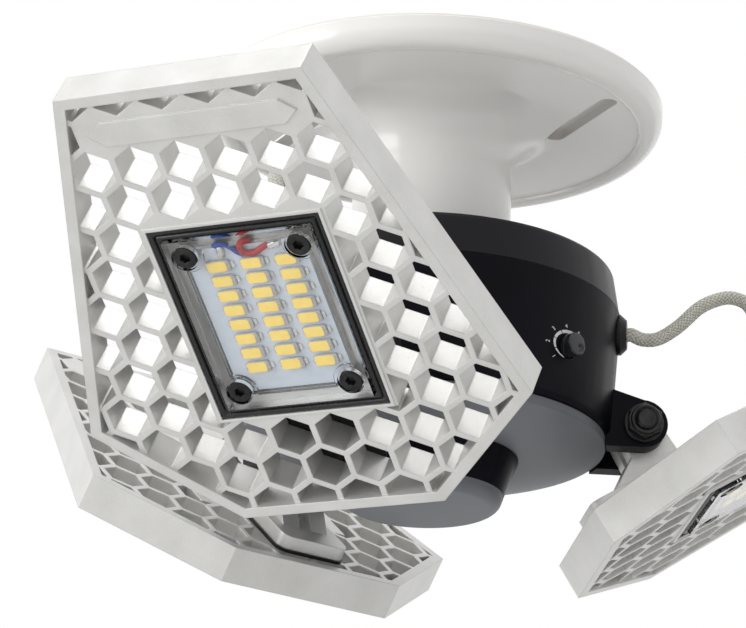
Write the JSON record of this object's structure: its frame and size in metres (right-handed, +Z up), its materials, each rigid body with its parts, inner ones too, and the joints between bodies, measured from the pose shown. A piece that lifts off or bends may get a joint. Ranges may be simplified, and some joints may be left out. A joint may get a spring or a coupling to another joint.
{
  "type": "garage ceiling light",
  "caption": "Ceiling garage light: folding honeycomb aluminium panels of light emitters hinged round a black hub that screws into a porcelain lampholder.",
  "frame": {"origin": "centre of the lampholder's ceiling face, which lies in the plane z = 0", "axes": "+Z up towards the ceiling along the lampholder's axis; +X to the right and +Y away from the viewer of the pictured pose"},
  "size_m": [0.2517, 0.2703, 0.1196],
  "materials": {
    "porcelain": "gloss",
    "brass": "satin",
    "bright_steel": "satin",
    "nickel": "satin",
    "base_glass": "gloss",
    "solder": "satin",
    "black_plastic": "satin",
    "grey_plastic": "satin",
    "knob_plastic": "gloss",
    "black_rubber": "matte",
    "black_steel": "satin",
    "circuit_board": "satin",
    "components": "satin",
    "cast_aluminium": "satin",
    "light_board": "satin",
    "emitters": "satin",
    "clear_lens": "gloss",
    "braid": "matte"
  },
  "bodies": {
    "lampholder": {"lampholder_body": "porcelain", "screw_shell": "brass", "centre_contact": "brass", "terminal_plates": "brass", "terminal_screws": "bright_steel", "socket_rivets": "brass"},
    "hub": {"base_shell": "nickel", "base_insulator": "base_glass", "base_tip": "solder", "hub_lid": "black_plastic", "lid_screws": "black_steel", "hub_body": "black_plastic", "hub_glands": "black_rubber", "bottom_cover": "grey_plastic", "sensor_pod": "black_plastic", "pod_cap": "grey_plastic", "sensor_board": "circuit_board", "driver_board": "circuit_board", "driver_parts": "components", "potentiometer": "components", "pivot_bolts": "black_steel", "pivot_nuts": "black_steel", "pivot_spacers": "bright_steel", "front_lead": "braid", "right_lead": "braid", "left_lead": "braid"},
    "knob": {"sensitivity_knob": "knob_plastic"},
    "front_panel": {"front_housing": "cast_aluminium", "front_gasket": "black_rubber", "front_led_board": "light_board", "front_leds": "emitters", "front_lens": "clear_lens", "front_lens_screws": "black_steel", "front_bracket_pad": "black_rubber", "front_bracket": "cast_aluminium", "front_bracket_screws": "black_steel", "front_gland": "black_rubber"},
    "right_panel": {"right_housing": "cast_aluminium", "right_gasket": "black_rubber", "right_led_board": "light_board", "right_leds": "emitters", "right_lens": "clear_lens", "right_lens_screws": "black_steel", "right_bracket_pad": "black_rubber", "right_bracket": "cast_aluminium", "right_bracket_screws": "black_steel", "right_gland": "black_rubber"},
    "left_panel": {"left_housing": "cast_aluminium", "left_gasket": "black_rubber", "left_led_board": "light_board", "left_leds": "emitters", "left_lens": "clear_lens", "left_lens_screws": "black_steel", "left_bracket_pad": "black_rubber", "left_bracket": "cast_aluminium", "left_bracket_screws": "black_steel", "left_gland": "black_rubber"}
  },
  "joints": [
    {"name": "light_turn", "type": "hinge", "parent": "lampholder", "child": "hub", "pos_m": [0, 0, -0.03], "axis": [0, 0, 1], "range_deg": [-360, 0]},
    {"name": "front_fold", "type": "hinge", "parent": "hub", "child": "front_panel", "pos_m": [-0.02065, -0.04794, -0.0842], "axis": [-0.9184, 0.3955, 0], "range_deg": [-34.8, 40.2], "deforming": ["front_lead"]},
    {"name": "right_fold", "type": "hinge", "parent": "hub", "child": "right_panel", "pos_m": [0.05184, 0.00609, -0.0842], "axis": [0.1167, -0.9932, 0], "range_deg": [-32.1, 42.9], "deforming": ["right_lead"]},
    {"name": "left_fold", "type": "hinge", "parent": "hub", "child": "left_panel", "pos_m": [-0.0312, 0.04185, -0.0842], "axis": [0.8018, 0.5976, 0], "range_deg": [-39.3, 35.7], "deforming": ["left_lead"]},
    {"name": "sensitivity_turn", "type": "hinge", "parent": "hub", "child": "knob", "pos_m": [0.0332, -0.03184, -0.0742], "axis": [0.7218, -0.6921, 0], "range_deg": [-135, 135]}
  ]
}
